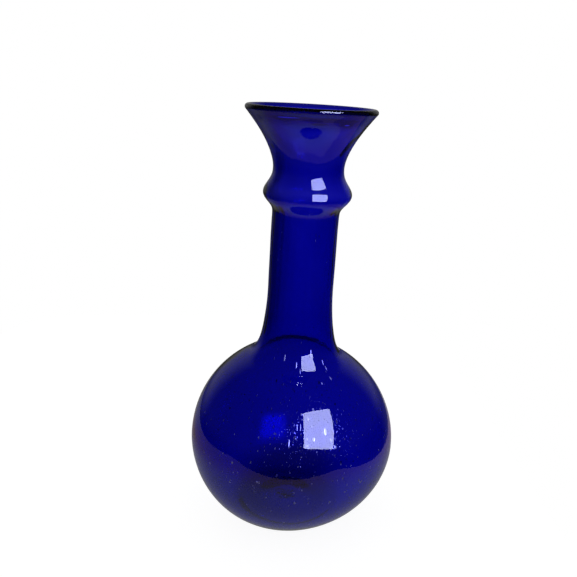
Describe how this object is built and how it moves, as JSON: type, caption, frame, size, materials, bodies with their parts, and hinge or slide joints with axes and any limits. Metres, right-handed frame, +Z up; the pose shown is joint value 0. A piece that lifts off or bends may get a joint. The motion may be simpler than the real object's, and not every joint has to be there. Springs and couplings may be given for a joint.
{
  "type": "vase",
  "caption": "Blown glass bottle vase with a round globe, long neck, hollow collar and flared mouth, leaning slightly on a flat foot.",
  "frame": {"origin": "centre of the flat foot ring, on the table", "axes": "+Z up from the table; the neck leans towards +X and a little towards -Y; the picture looks along +Y"},
  "size_m": [0.1271, 0.1272, 0.2558],
  "materials": {
    "cobalt_glass": "fire-polished blown glass, deep cobalt blue, with seeds"
  },
  "bodies": {
    "root": {"vessel": "cobalt_glass", "lip_wrap": "cobalt_glass", "pontil_wad": "cobalt_glass"}
  },
  "joints": []
}
